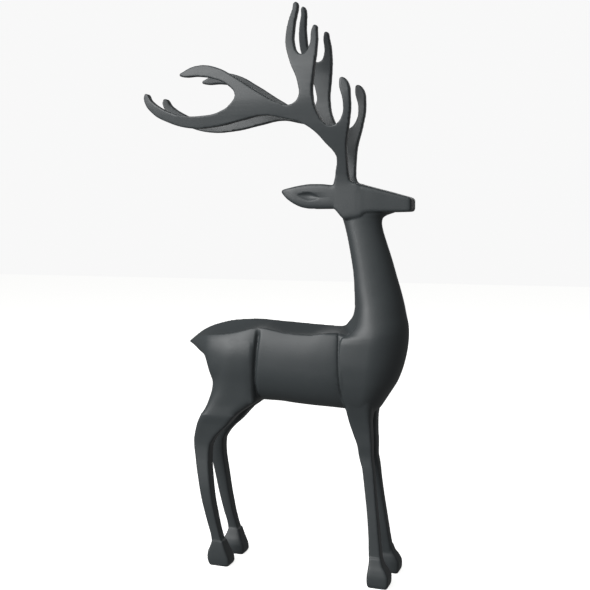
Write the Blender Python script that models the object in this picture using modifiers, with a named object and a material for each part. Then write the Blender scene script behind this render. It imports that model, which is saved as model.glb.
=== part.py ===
"""Deer figurine: one casting in painted aluminium that stands on its four hooves.

The deer faces +X, its left side is +Y and +Z is up, in metres. The tables give the pose and the
form in steps of the deer's height: x forward from a plumb line through the middle of the trunk,
z up from the drawing's base line. Widths are shares of the named widths. The finished casting is
set with the middle of its box, on the ground, at the origin.
"""

import math

import bmesh
import bpy
import numpy as np
from mathutils import Matrix, Vector

HEIGHT = 0.497
STEPS = 497
STEP = HEIGHT / STEPS

TRUNK_WIDTH = 0.055
CHEST_WIDTH = 0.054
HEAD_WIDTH = 0.026
EAR_THICKNESS = 0.0065
EAR_HOLLOW_DEPTH = 0.0020
ANTLER_THICKNESS = 0.0062
ANTLER_SPREAD = 0.052
GROOVE_DEPTH = 0.0034
CREASE_DEPTH = 0.0012
CREASE_WIDTH = 0.0018

# In steps: the level of the soles, and the middle of the casting's box.
GROUND = 1.7
MIDDLE = -15.94

PAINT_COLOUR = (0.060, 0.068, 0.071, 1.0)
PAINT_ROUGHNESS = 0.42
PAINT_METALLIC = 0.35

# How finely the forms are drawn. The gaps are in steps.
VOXEL = 0.0013
SMOOTH_SHARE = 0.5
SMOOTH_ROUNDS = 3
KEPT_FACES = 0.043
RING_POINTS = 48
ROOF_POINTS = 6
SECTION_GAP = 2.5
TRUNK_GAP = 1.25
HEAD_GAP = 1.5
BEND_GAP = 6.0
OUTLINE_POINTS = 3
CREASE_RINGS = 24
HOLLOW_SEGMENTS = 20
HOLLOW_RINGS = 12
MERGE = 1e-6
# Side of the block that trims the soles, in metres.
SLAB = 1.0

# Trunk, from the tail to inside the chest.
# x, height of spine, roof edge, widest line and belly, half width as a share of TRUNK_WIDTH
TRUNK = (
    (-103.5, 202.6, 202.3, 202.0, 201.4, 0.012),
    (-101.0, 204.6, 203.4, 202.2, 200.2, 0.040),
    (-96.0, 208.6, 206.0, 202.0, 197.4, 0.112),
    (-90.0, 212.9, 208.4, 201.5, 193.2, 0.205),
    (-85.0, 215.6, 209.8, 200.5, 190.8, 0.290),
    (-81.5, 217.2, 210.4, 198.0, 188.9, 0.345),
    (-79.0, 218.2, 210.8, 196.0, 184.0, 0.380),
    (-76.0, 219.2, 211.2, 195.0, 170.0, 0.415),
    (-70.0, 221.0, 211.8, 194.0, 158.5, 0.455),
    (-60.0, 223.3, 212.8, 193.0, 156.5, 0.492),
    (-50.0, 224.5, 214.4, 192.0, 154.5, 0.505),
    (-40.0, 225.2, 216.8, 191.0, 153.5, 0.505),
    (-34.0, 225.3, 218.4, 190.0, 152.9, 0.500),
    (-29.0, 225.3, 219.2, 190.0, 152.5, 0.490),
    (-22.0, 224.9, 219.4, 189.0, 152.7, 0.488),
    (-12.0, 224.3, 217.8, 188.0, 152.7, 0.494),
    (2.0, 223.6, 215.6, 187.0, 151.7, 0.500),
    (20.0, 222.6, 215.0, 186.5, 150.7, 0.500),
    (34.0, 222.0, 216.9, 186.0, 150.3, 0.492),
    (43.0, 222.0, 217.4, 186.0, 149.9, 0.482),
    (47.6, 222.5, 216.8, 186.0, 149.7, 0.470),
    (60.0, 223.0, 215.0, 186.0, 151.5, 0.440),
)
TRUNK_SHOULDER = 0.82
TRUNK_ROUNDNESS = 2.3
GROOVE_X = -25.6
GROOVE_REACH = 3.4
# The groove deepens over this many steps below the roof's edge.
GROOVE_FADE = 7.0
# Below this level the groove leans back this many steps for each step down, and so does the flank
# within this reach of it.
GROOVE_SLANT = 0.08
GROOVE_LEVEL = 212.0
SLANT_REACH = 14.0

# Chest and neck, from between the forelegs up into the head.
# z, x of the nape ridge, its roof edge, widest line and throat, half width as a share of
# CHEST_WIDTH, roof edge's share of that
NECK = (
    (148.8, 56.0, 58.0, 62.0, 70.0, 0.170, 0.80),
    (150.0, 51.0, 53.0, 62.0, 76.2, 0.290, 0.88),
    (153.0, 49.4, 51.0, 64.0, 79.0, 0.350, 0.92),
    (158.8, 48.8, 50.3, 66.0, 82.8, 0.400, 0.94),
    (166.0, 48.6, 50.1, 68.0, 87.4, 0.440, 0.95),
    (176.0, 48.4, 49.9, 70.0, 93.4, 0.475, 0.95),
    (191.8, 47.9, 49.4, 72.0, 99.0, 0.498, 0.95),
    (207.4, 47.3, 49.3, 74.0, 102.0, 0.494, 0.94),
    (213.0, 46.0, 50.5, 75.0, 102.4, 0.486, 0.91),
    (218.0, 44.0, 58.0, 76.5, 102.5, 0.468, 0.85),
    (224.0, 47.5, 61.6, 76.0, 102.2, 0.440, 0.80),
    (232.1, 53.4, 62.2, 74.5, 100.5, 0.402, 0.78),
    (241.4, 54.8, 61.2, 73.5, 98.7, 0.362, 0.74),
    (253.1, 54.5, 59.2, 71.0, 95.7, 0.324, 0.73),
    (266.0, 53.7, 57.6, 68.5, 91.8, 0.292, 0.72),
    (280.0, 51.6, 55.4, 65.5, 87.7, 0.264, 0.71),
    (295.0, 48.8, 52.5, 62.0, 82.7, 0.238, 0.71),
    (305.0, 46.5, 50.1, 59.8, 79.6, 0.222, 0.71),
    (311.0, 44.8, 48.6, 58.6, 78.6, 0.215, 0.71),
    (314.6, 43.6, 47.7, 58.6, 79.2, 0.212, 0.71),
    (317.2, 42.4, 47.0, 59.0, 82.5, 0.210, 0.71),
    (320.5, 40.6, 46.2, 60.0, 91.0, 0.205, 0.71),
    (326.0, 39.5, 45.6, 60.0, 92.0, 0.200, 0.71),
)
NECK_ROUNDNESS = 2.05
ROOF_HOLLOW = 1.5
# A roof's edges stop at this share of the half width, whatever a table says.
WIDEST_ROOF_SHARE = 0.98

# Haunch and hind leg, from the hoof up to the roof edge of the trunk.
# z, back x, front x, widest x, inner, outer and widest y, then the powers that shape the back's
# corners along and across, and the front's
HIND_LEG = (
    (20.0, -71.6, -61.0, -66.3, 13.2, 23.6, 18.4, 8.0, 8.0, 8.0),
    (30.0, -73.4, -64.1, -68.6, 13.6, 23.4, 18.5, 8.0, 8.0, 8.0),
    (40.0, -76.4, -66.9, -71.5, 13.1, 23.5, 18.3, 8.0, 8.0, 8.0),
    (50.0, -79.1, -69.1, -74.0, 12.8, 23.8, 18.3, 8.0, 8.0, 8.0),
    (60.0, -81.7, -71.1, -76.3, 12.7, 24.0, 18.4, 8.0, 8.0, 8.0),
    (70.0, -83.8, -72.6, -78.1, 12.4, 23.9, 18.1, 8.0, 8.0, 8.0),
    (80.0, -85.7, -73.8, -79.6, 11.7, 23.3, 17.5, 8.0, 8.0, 8.0),
    (90.0, -87.7, -75.0, -81.2, 10.9, 22.3, 16.6, 8.0, 8.0, 8.0),
    (100.0, -89.3, -75.5, -82.3, 10.0, 21.3, 15.7, 8.0, 8.0, 8.0),
    (110.0, -90.7, -74.7, -82.2, 9.4, 20.8, 15.1, 8.0, 8.0, 8.0),
    (115.0, -90.7, -72.1, -81.0, 9.3, 21.1, 15.2, 8.0, 8.0, 8.0),
    (120.0, -89.8, -68.3, -79.0, 9.4, 21.6, 15.5, 8.0, 8.0, 8.0),
    (130.0, -87.0, -57.7, -73.0, 9.6, 22.8, 16.8, 6.5, 7.0, 8.0),
    (140.0, -82.3, -48.4, -66.5, 8.6, 24.3, 16.0, 5.0, 5.5, 8.0),
    (148.0, -78.4, -37.4, -61.8, 6.5, 24.0, 12.8, 3.8, 3.8, 8.0),
    (154.0, -77.3, -29.8, -58.0, 2.5, 24.4, 8.0, 3.2, 2.9, 8.0),
    (161.0, -76.9, -29.8, -54.5, -2.0, 25.0, 2.0, 2.7, 2.3, 8.0),
    (171.0, -76.9, -29.2, -52.0, -3.0, 26.2, 0.0, 2.5, 2.0, 8.0),
    (180.0, -76.8, -28.6, -51.0, -3.0, 27.6, 0.0, 2.5, 1.7, 8.0),
    (188.0, -78.6, -28.1, -50.0, -3.0, 28.4, 0.0, 2.5, 1.4, 8.0),
    (194.0, -80.4, -27.7, -49.0, -3.0, 28.6, 0.0, 2.5, 1.3, 8.0),
    (202.0, -77.0, -27.3, -48.0, -3.0, 27.8, 0.0, 2.5, 1.2, 8.0),
    (208.0, -68.0, -27.2, -47.0, -3.0, 26.0, 0.0, 2.5, 1.2, 8.0),
    (213.0, -58.0, -28.0, -45.0, -3.0, 21.5, 0.0, 2.5, 1.2, 6.0),
)

# Foreleg, from the hoof up into the chest, in the same columns.
FORE_LEG = (
    (20.0, 75.2, 86.0, 80.6, 12.4, 22.8, 18.5, 8.0, 8.0, 8.0),
    (30.0, 74.1, 84.6, 79.8, 11.4, 21.3, 17.5, 8.0, 8.0, 8.0),
    (40.0, 73.6, 83.2, 78.8, 10.1, 20.0, 16.2, 8.0, 8.0, 8.0),
    (50.0, 72.7, 81.9, 77.7, 9.1, 18.7, 15.0, 8.0, 8.0, 8.0),
    (60.0, 71.6, 80.6, 76.5, 8.4, 17.4, 14.0, 8.0, 8.0, 8.0),
    (70.0, 70.2, 79.3, 75.2, 7.5, 16.1, 13.0, 8.0, 8.0, 8.0),
    (80.0, 68.7, 78.1, 73.8, 6.6, 15.0, 12.0, 8.0, 8.0, 8.0),
    (90.0, 67.3, 77.0, 72.5, 5.7, 14.2, 11.1, 8.0, 8.0, 8.0),
    (100.0, 65.8, 76.0, 71.3, 4.8, 13.7, 10.4, 8.0, 8.0, 8.0),
    (110.0, 62.9, 74.5, 70.0, 3.9, 13.0, 9.9, 8.0, 8.0, 8.0),
    (120.0, 61.3, 74.4, 68.5, 3.1, 14.0, 9.5, 8.0, 8.0, 8.0),
    (130.0, 57.7, 73.8, 66.8, 2.5, 14.4, 9.3, 8.0, 8.0, 8.0),
    (140.0, 54.4, 73.6, 65.5, 3.4, 15.8, 9.0, 8.0, 8.0, 6.0),
    (150.0, 52.2, 74.6, 65.0, 1.0, 18.4, 7.0, 8.0, 8.0, 5.0),
    (158.0, 50.6, 78.0, 65.0, -3.0, 20.8, 0.0, 7.0, 7.0, 3.6),
    (166.0, 49.6, 81.0, 65.5, -3.0, 22.9, 0.0, 6.0, 6.0, 2.8),
    (174.0, 49.0, 83.0, 66.0, -3.0, 24.4, 0.0, 5.0, 5.0, 2.4),
    (182.0, 48.8, 84.0, 66.5, -3.0, 25.4, 0.0, 5.0, 5.0, 2.2),
)

# Hooves: z, back and front x, inner and outer y
HIND_HOOF = (
    (-3.0, -72.6, -58.0, 11.2, 22.8),
    (0.0, -72.6, -58.0, 11.2, 22.8),
    (1.6, -74.2, -56.2, 10.0, 23.8),
    (4.5, -75.8, -54.7, 9.0, 24.5),
    (9.0, -76.5, -55.2, 9.0, 24.8),
    (14.0, -75.9, -57.2, 9.8, 24.7),
    (19.0, -73.8, -59.3, 11.4, 24.4),
    (24.5, -71.8, -61.2, 13.0, 23.9),
)
FORE_HOOF = (
    (-3.0, 76.4, 90.0, 13.4, 25.8),
    (0.0, 76.4, 90.0, 13.4, 25.8),
    (1.6, 75.2, 91.6, 12.2, 26.8),
    (4.5, 74.0, 92.8, 11.2, 27.6),
    (10.0, 73.8, 93.0, 11.0, 27.3),
    (16.0, 74.4, 90.6, 11.6, 26.0),
    (20.0, 74.8, 87.7, 12.6, 24.6),
    (26.0, 75.0, 85.5, 13.8, 22.9),
)
HOOF_POWER = 9.0

# Head, from behind the antlers to the muzzle: x, jaw, crown, half width as a share of HEAD_WIDTH
HEAD = (
    (37.0, 325.5, 341.0, 0.36),
    (38.5, 323.4, 343.4, 0.48),
    (41.5, 320.6, 344.6, 0.50),
    (46.0, 315.4, 345.0, 0.50),
    (49.0, 313.4, 345.0, 0.50),
    (54.0, 313.9, 344.6, 0.50),
    (59.5, 314.7, 344.0, 0.50),
    (62.8, 315.8, 343.3, 0.50),
    (66.2, 318.6, 342.4, 0.495),
    (71.4, 319.6, 341.0, 0.49),
    (85.5, 319.8, 337.3, 0.465),
    (97.0, 320.0, 334.1, 0.445),
    (103.2, 320.2, 332.3, 0.430),
    (104.9, 320.9, 331.4, 0.41),
    (105.7, 322.4, 330.0, 0.36),
)
HEAD_POWER = 10.0

# Ear, from its tip forward into the head: x, lower edge, upper edge, share of EAR_THICKNESS. Its
# outer face stands this share of HEAD_WIDTH from the centre plane.
EAR_FACE = 0.50
EAR = (
    (-8.6, 336.9, 339.0, 0.25),
    (-7.0, 335.0, 339.8, 0.55),
    (-3.0, 331.1, 340.8, 0.80),
    (4.4, 326.5, 342.4, 1.00),
    (11.0, 324.0, 343.5, 1.00),
    (18.1, 323.0, 344.2, 1.00),
    (27.2, 323.0, 344.1, 1.00),
    (36.1, 323.1, 343.3, 1.00),
    (44.0, 323.0, 343.0, 1.00),
)
EAR_POWER = 4.0
# The almond dished into the ear's outer face: x, z, half length, half height, how many times its
# depth it bulges behind its rim, and the slope of its length
EAR_HOLLOW = (17.0, 333.5, 11.5, 4.0)
EAR_HOLLOW_BULGE = 3.0
EAR_HOLLOW_SLOPE = math.radians(7)

# Antler plate seen from the side: x, z round its edge. A corner is a pair of points close together.
ANTLER = (
    (40.3, 340.0), (41.1, 352.0), (43.4, 364.0), (43.0, 367.3), (34.3, 378.2), (24.9, 388.3),
    (14.0, 395.2), (-3.4, 399.9), (-19.5, 402.7), (-40.1, 399.4), (-64.0, 395.0), (-92.0, 394.6),
    (-112.0, 400.2), (-127.8, 408.7), (-135.6, 418.6), (-136.2, 424.7), (-134.2, 426.6),
    (-128.6, 420.2), (-118.0, 413.0), (-101.0, 406.2), (-77.7, 404.5), (-60.0, 407.5),
    (-48.6, 414.4), (-45.0, 421.0), (-50.4, 428.5), (-64.7, 435.5), (-80.0, 438.4),
    (-94.5, 438.8), (-97.8, 440.2), (-93.8, 443.3), (-80.0, 447.8), (-63.2, 445.6),
    (-44.0, 435.4), (-20.7, 420.7), (-5.0, 412.4), (5.4, 410.8), (12.6, 416.0),
    (12.6, 428.2), (5.0, 447.5), (0.5, 463.0), (0.8, 478.1), (4.0, 491.3),
    (6.4, 498.6), (8.2, 497.4), (7.0, 476.7), (8.2, 461.2), (12.6, 453.4), (18.2, 453.0),
    (22.4, 460.5), (23.0, 473.0), (25.6, 477.1), (27.7, 470.8), (28.4, 455.0), (26.8, 437.4),
    (25.4, 418.5), (28.7, 403.5), (36.3, 393.4), (44.5, 393.2), (50.9, 401.0), (51.9, 411.6),
    (49.1, 427.3), (50.5, 430.9), (54.5, 429.5), (58.2, 413.0), (56.3, 396.0), (52.4, 376.0),
    (51.9, 362.0), (52.2, 353.5), (53.0, 348.4), (55.6, 345.2),
    (60.5, 343.6), (60.5, 338.0),
)
# How far the plate's middle stands from the centre plane: z, share of ANTLER_SPREAD
SPREAD = (
    (335.0, 0.190), (343.0, 0.192), (350.0, 0.212), (358.0, 0.250), (375.0, 0.322), (398.0, 0.412),
    (420.0, 0.465), (440.0, 0.452), (455.0, 0.404), (475.0, 0.298), (500.0, 0.173),
)
# How much of that is left towards the back: x, share
CLOSING = ((-135.0, 0.74), (-118.0, 0.88), (-98.0, 0.98), (-80.0, 1.0), (60.0, 1.0))
# The antlers lean back a little more than they are drawn, from this height up.
ANTLER_ROOT = 350.0
ANTLER_LEAN = 0.013

# Shoulder crease, from the roof edge down to the armpit: x, z. The cut starts this many steps
# outside the flank.
CREASE_START = 2.0
CREASE = (
    (45.6, 218.6), (47.2, 215.4), (47.6, 208.0), (47.8, 195.3),
    (48.3, 182.6), (49.2, 169.8), (50.9, 161.3), (52.9, 153.0),
)


def through(rows):
    """A smooth function of the first column, through every row, that never overshoots them."""
    table = np.array(rows, float)
    place, value = table[:, 0], table[:, 1:]
    gap = np.diff(place)[:, None]
    slope = np.diff(value, axis=0) / gap
    product = slope[:-1] * slope[1:]
    total = np.where(product > 0, slope[:-1] + slope[1:], 1)
    inner = np.where(product > 0, 2 * product / total, 0)
    lean = np.vstack([slope[:1], inner, slope[-1:]])

    def curve(at):
        i = int(np.clip(np.searchsorted(place, at, side="right") - 1, 0, len(gap) - 1))
        t = (min(max(at, place[0]), place[-1]) - place[i]) / gap[i, 0]
        start = value[i] * (1 + 2 * t) * (1 - t) ** 2 + lean[i] * gap[i] * t * (1 - t) ** 2
        end = value[i + 1] * t * t * (3 - 2 * t) - lean[i + 1] * gap[i] * t * t * (1 - t)
        return start + end

    return curve


def stations(rows, gap):
    """Places from the first row to the last, with every row's own place among them."""
    found = [rows[0][0]]
    for low, high in zip(rows, rows[1:]):
        count = max(1, math.ceil((high[0] - low[0]) / gap))
        found += [low[0] + (high[0] - low[0]) * (i + 1) / count for i in range(count)]
    return found


def placed(x, y, z):
    """A point of the drawing, in steps, as a point of the casting in metres."""
    return Vector((x - MIDDLE, y, z - GROUND)) * STEP


def add_loft(bm, rings):
    """A closed body through rings of as many points each, capped flat at both ends."""
    rows = [[bm.verts.new(placed(*point)) for point in ring] for ring in rings]
    for low, high in zip(rows, rows[1:]):
        for i in range(len(low)):
            j = (i + 1) % len(low)
            bm.faces.new((low[i], low[j], high[j], high[i]))
    bm.faces.new(rows[0])
    bm.faces.new(rows[-1])


def gabled(ridge, edge, widest, keel, half, share, power):
    """Closed section with a hollowed roof over round sides, as (sideways, along) points."""
    points = []
    for i in range(ROOF_POINTS):
        run = i / ROOF_POINTS
        points.append((half * share * run, ridge + (edge - ridge) * (1 - (1 - run) ** ROOF_HOLLOW)))
    top = math.acos(min(share, WIDEST_ROOF_SHARE) ** (power / 2))
    rise = (edge - widest) / math.sin(top) ** (2 / power)
    count = RING_POINTS // 2 - ROOF_POINTS
    for i in range(count + 1):
        turn = top + (-math.pi / 2 - top) * i / count
        reach = rise if turn > 0 else widest - keel
        lift = math.copysign(abs(math.sin(turn)) ** (2 / power), turn)
        points.append((half * max(math.cos(turn), 0) ** (2 / power), widest + reach * lift))
    points[-1] = (0, keel)
    return points + [(-side, along) for side, along in points[-2:0:-1]]


def blocky(low, high, middle, inner, outer, centre, back_powers, front_power):
    """Ring round a rectangle with soft corners, as (x, y) points. It is widest at middle, centre."""
    points = []
    for i in range(RING_POINTS):
        turn = 2 * math.pi * i / RING_POINTS
        c, s = math.cos(turn), math.sin(turn)
        along, across = (front_power, front_power) if c > 0 else back_powers
        reach = high - middle if c > 0 else middle - low
        stand = outer - centre if s > 0 else centre - inner
        points.append((
            middle + reach * math.copysign(abs(c) ** (2 / along), c),
            centre + stand * math.copysign(abs(s) ** (2 / across), s),
        ))
    return points


def even(low, high, inner, outer, power):
    """Ring round a rectangle whose corners are all as soft, as points along and across it."""
    middle, centre = (low + high) / 2, (inner + outer) / 2
    return blocky(low, high, middle, inner, outer, centre, (power, power), power)


def near_groove(x, reach):
    """1 at the groove, falling smoothly to 0 at reach from it."""
    away = (x - GROOVE_X) / reach
    return max(0.0, 1 - away * away) ** 2


def trunk_section(x):
    """The trunk's ring at x, as (sideways, up) points."""
    spine, edge, widest, belly, share = through(TRUNK)(x)
    half = share * TRUNK_WIDTH / STEP
    cut = near_groove(x, GROOVE_REACH) * GROOVE_DEPTH / STEP / half
    ring = gabled(spine, edge, widest, belly, half, TRUNK_SHOULDER, TRUNK_ROUNDNESS)
    return [(y * (1 - cut * min(max((edge - z) / GROOVE_FADE, 0), 1)), z) for y, z in ring]


def add_trunk(bm):
    """Trunk from tail to chest: a ridge along the back over a barrel, grooved at the haunch."""
    rings = []
    for x in stations(TRUNK, TRUNK_GAP):
        slant = GROOVE_SLANT * near_groove(x, SLANT_REACH)
        section = trunk_section(x)
        rings.append([(x + slant * min(z - GROOVE_LEVEL, 0), y, z) for y, z in section])
    add_loft(bm, rings)


def add_neck(bm):
    """Chest and neck, with the back's ridge carried up the nape."""
    curve = through(NECK)
    rings = []
    for z in stations(NECK, SECTION_GAP):
        nape, edge, widest, throat, half, share = curve(z)
        section = gabled(nape, edge, widest, throat, half * CHEST_WIDTH / STEP, share, NECK_ROUNDNESS)
        rings.append([(x, side, z) for side, x in section])
    add_loft(bm, rings)


def add_leg(bm, rows, side):
    """One leg from its hoof up into the body, on the side given as 1 or -1."""
    curve = through(rows)
    rings = []
    for z in stations(rows, SECTION_GAP):
        back, front, middle, inner, outer, centre, along, across, front_power = curve(z)
        ring = blocky(back, front, middle, inner, outer, centre, (along, across), front_power)
        rings.append([(x, side * y, z) for x, y in ring])
    add_loft(bm, rings)


def add_hoof(bm, rows, side):
    """One hoof, flared below the pastern and chamfered at the sole."""
    curve = through(rows)
    rings = []
    for z in stations(rows, SECTION_GAP):
        ring = even(*curve(z), HOOF_POWER)
        rings.append([(x, side * y, z) for x, y in ring])
    add_loft(bm, rings)


def add_head(bm):
    """Head: a flat-sided wedge with a blunt muzzle."""
    curve = through(HEAD)
    rings = []
    for x in stations(HEAD, HEAD_GAP):
        jaw, crown, share = curve(x)
        half = share * HEAD_WIDTH / STEP
        rings.append([(x, y, z) for z, y in even(jaw, crown, -half, half, HEAD_POWER)])
    add_loft(bm, rings)


def add_ear(bm, side):
    """One ear: a leaf plate laid back in line with the side of the head."""
    curve = through(EAR)
    middle = (EAR_FACE * HEAD_WIDTH - EAR_THICKNESS / 2) / STEP
    rings = []
    for x in stations(EAR, HEAD_GAP):
        low, high, share = curve(x)
        half = share * EAR_THICKNESS / STEP / 2
        ring = even(low, high, middle - half, middle + half, EAR_POWER)
        rings.append([(x, side * y, z) for z, y in ring])
    add_loft(bm, rings)


def flat_plate(name, outline, thickness):
    """A bmesh of the outline, drawn in its own XY plane and extruded either way from it, in steps."""
    data = bpy.data.curves.new(name, "CURVE")
    data.dimensions = "2D"
    data.fill_mode = "BOTH"
    data.extrude = thickness / 2
    data.resolution_u = OUTLINE_POINTS
    spline = data.splines.new("BEZIER")
    spline.bezier_points.add(len(outline) - 1)
    spline.use_cyclic_u = True
    for knot, (x, z) in zip(spline.bezier_points, outline):
        knot.co = (x, z, 0)
        knot.handle_left_type = knot.handle_right_type = "AUTO"
    drawn = bpy.data.objects.new(name, data)
    bpy.context.scene.collection.objects.link(drawn)
    bpy.context.view_layer.update()
    mesh = bpy.data.meshes.new_from_object(drawn.evaluated_get(bpy.context.evaluated_depsgraph_get()))
    plate = bmesh.new()
    plate.from_mesh(mesh)
    bpy.data.meshes.remove(mesh)
    bpy.data.objects.remove(drawn)
    bpy.data.curves.remove(data)
    return plate


def antler(side):
    """One antler: a flat plate cut to its outline, then bowed away from the centre plane."""
    plate = flat_plate("antler outline", ANTLER, ANTLER_THICKNESS / STEP)
    bmesh.ops.remove_doubles(plate, verts=plate.verts, dist=MERGE / STEP)
    low = min(vert.co.y for vert in plate.verts)
    high = max(vert.co.y for vert in plate.verts)
    for cut in np.arange(low + BEND_GAP, high, BEND_GAP):
        whole = plate.verts[:] + plate.edges[:] + plate.faces[:]
        bmesh.ops.bisect_plane(plate, geom=whole, plane_co=(0, cut, 0), plane_no=(0, 1, 0))
    bmesh.ops.triangulate(plate, faces=plate.faces)
    bow, closing = through(SPREAD), through(CLOSING)
    for vert in plate.verts:
        x, z, off = vert.co
        middle = bow(z)[0] * closing(x)[0] * ANTLER_SPREAD / STEP
        lean = max(0.0, z - ANTLER_ROOT) * ANTLER_LEAN
        vert.co = placed(x - lean, side * (middle + off), z)
    return plate


def paint():
    """Dark grey powder coat."""
    material = bpy.data.materials.new("powder coat")
    material.use_nodes = True
    shader = material.node_tree.nodes["Principled BSDF"]
    shader.inputs["Base Color"].default_value = PAINT_COLOUR
    shader.inputs["Roughness"].default_value = PAINT_ROUGHNESS
    shader.inputs["Metallic"].default_value = PAINT_METALLIC
    material.diffuse_color = PAINT_COLOUR
    return material


def new_object(name, bm, collection):
    """An object of the bmesh, facing out."""
    bmesh.ops.recalc_face_normals(bm, faces=bm.faces)
    mesh = bpy.data.meshes.new(name)
    bm.to_mesh(mesh)
    bm.free()
    made = bpy.data.objects.new(name, mesh)
    collection.objects.link(made)
    return made


def helper(name, bm, collection):
    """An operand of a Boolean: in the file, but neither rendered nor built."""
    made = new_object(name, bm, collection)
    made.hide_render = True
    made.display_type = "WIRE"
    return made


def ground(collection):
    """A slab that trims the soles level."""
    bm = bmesh.new()
    bmesh.ops.create_cube(bm, size=SLAB)
    bmesh.ops.translate(bm, vec=(0, 0, -SLAB / 2), verts=bm.verts)
    return helper("ground", bm, collection)


def ear_hollows(collection):
    """Two flat almonds that dish the ears' outer faces."""
    x, z, long, tall = EAR_HOLLOW
    bulge = EAR_HOLLOW_BULGE * EAR_HOLLOW_DEPTH / STEP
    stand = (EAR_FACE * HEAD_WIDTH - EAR_HOLLOW_DEPTH) / STEP + bulge
    slope = Matrix.Rotation(EAR_HOLLOW_SLOPE, 3, "Y")
    bm = bmesh.new()
    for side in (-1, 1):
        ball = bmesh.ops.create_uvsphere(
            bm, u_segments=HOLLOW_SEGMENTS, v_segments=HOLLOW_RINGS, radius=STEP
        )["verts"]
        bmesh.ops.scale(bm, vec=(long, bulge, tall), verts=ball)
        bmesh.ops.rotate(bm, matrix=slope, verts=ball)
        bmesh.ops.translate(bm, vec=placed(x, side * stand, z), verts=ball)
    return helper("ear hollows", bm, collection)


def shoulder_creases(collection):
    """Two thin wedges that score the line between shoulder and barrel."""
    bm = bmesh.new()
    depth = CREASE_DEPTH / STEP
    spread = CREASE_WIDTH / STEP / 2 * (1 + CREASE_START / depth)
    line = through([(-z, x) for x, z in CREASE])
    for side in (-1, 1):
        rings = []
        for z in np.linspace(CREASE[0][1], CREASE[-1][1], CREASE_RINGS):
            x = line(-z)[0]
            flank = trunk_section(x)[: RING_POINTS // 2 + 1]
            face = np.interp(-z, [-up for _, up in flank], [out for out, _ in flank])
            mouth = side * (face + CREASE_START)
            rings.append([(x, side * (face - depth), z), (x - spread, mouth, z), (x + spread, mouth, z)])
        add_loft(bm, rings)
    return helper("shoulder creases", bm, collection)


def modifier(made, kind, name, **settings):
    added = made.modifiers.new(name, kind)
    for key, value in settings.items():
        setattr(added, key, value)


def build():
    for old in list(bpy.data.objects):
        bpy.data.objects.remove(old)
    scene = bpy.context.scene.collection
    parts = bpy.data.collections.new("deer figurine")
    cutters = bpy.data.collections.new("cutters")
    scene.children.link(parts)
    scene.children.link(cutters)

    bm = bmesh.new()
    add_trunk(bm)
    add_neck(bm)
    add_head(bm)
    for side in (-1, 1):
        for leg, hoof in ((HIND_LEG, HIND_HOOF), (FORE_LEG, FORE_HOOF)):
            add_leg(bm, leg, side)
            add_hoof(bm, hoof, side)
        add_ear(bm, side)
    deer = new_object("deer", bm, parts)
    deer.data.materials.append(paint())

    modifier(deer, "REMESH", "one skin", mode="VOXEL", voxel_size=VOXEL)
    modifier(deer, "SMOOTH", "fettled", factor=SMOOTH_SHARE, iterations=SMOOTH_ROUNDS)
    modifier(deer, "DECIMATE", "facets", ratio=KEPT_FACES)
    for name, side in (("right antler", -1), ("left antler", 1)):
        plate = helper(name, antler(side), cutters)
        modifier(deer, "BOOLEAN", name, object=plate, operation="UNION")
    for name, cutter in (
        ("ear hollows", ear_hollows), ("creases", shoulder_creases), ("soles", ground),
    ):
        modifier(deer, "BOOLEAN", name, object=cutter(cutters), operation="DIFFERENCE")


build()
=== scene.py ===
"""Deer figurine in powder-coated cast aluminium, on a pale floor under soft studio light.

The deer faces +X, its left side is +Y and +Z is up. Its forms are drawn in steps of a millimetre:
x forward from a plumb line through the middle of the trunk, z up from the drawing's base line.
Lofts of those forms are melted into one skin, as a casting is, and the fine lines are scored in it.
"""

import logging
import math
from collections.abc import Callable, Sequence
from dataclasses import dataclass, field
from enum import Enum

import bmesh
import bpy
import numpy as np
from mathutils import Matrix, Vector

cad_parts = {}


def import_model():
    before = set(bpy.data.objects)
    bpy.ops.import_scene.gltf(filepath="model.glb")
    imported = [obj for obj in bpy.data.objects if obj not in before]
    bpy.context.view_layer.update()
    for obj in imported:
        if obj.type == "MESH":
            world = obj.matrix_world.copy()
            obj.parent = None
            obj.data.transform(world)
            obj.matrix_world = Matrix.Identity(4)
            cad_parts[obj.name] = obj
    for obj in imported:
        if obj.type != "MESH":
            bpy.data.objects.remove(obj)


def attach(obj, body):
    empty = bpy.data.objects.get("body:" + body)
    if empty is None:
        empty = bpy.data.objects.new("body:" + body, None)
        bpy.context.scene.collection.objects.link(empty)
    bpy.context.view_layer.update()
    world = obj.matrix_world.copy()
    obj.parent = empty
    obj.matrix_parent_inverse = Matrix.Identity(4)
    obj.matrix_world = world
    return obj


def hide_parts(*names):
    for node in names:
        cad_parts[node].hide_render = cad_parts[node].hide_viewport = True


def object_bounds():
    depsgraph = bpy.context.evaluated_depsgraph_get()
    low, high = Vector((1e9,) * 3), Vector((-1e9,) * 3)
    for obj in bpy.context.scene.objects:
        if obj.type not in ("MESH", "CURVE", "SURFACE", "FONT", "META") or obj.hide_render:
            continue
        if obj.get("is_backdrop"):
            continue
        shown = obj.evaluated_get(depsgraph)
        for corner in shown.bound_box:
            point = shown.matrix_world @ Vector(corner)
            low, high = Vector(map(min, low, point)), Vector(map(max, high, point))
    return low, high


log = logging.getLogger("deer")

# Metres in a step, then the level of the soles and the middle of the casting's box in steps.
STEP = 0.001
GROUND = 1.7
MIDDLE = -15.94
MM_PER_METRE = 1000
# A colour mix's sockets by place, because its other sockets have the same names.
MIX_FIRST, MIX_SECOND, MIX_RESULT = 6, 7, 2

Row = tuple[float, ...]
Ring = list[tuple[float, float, float]]

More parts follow.
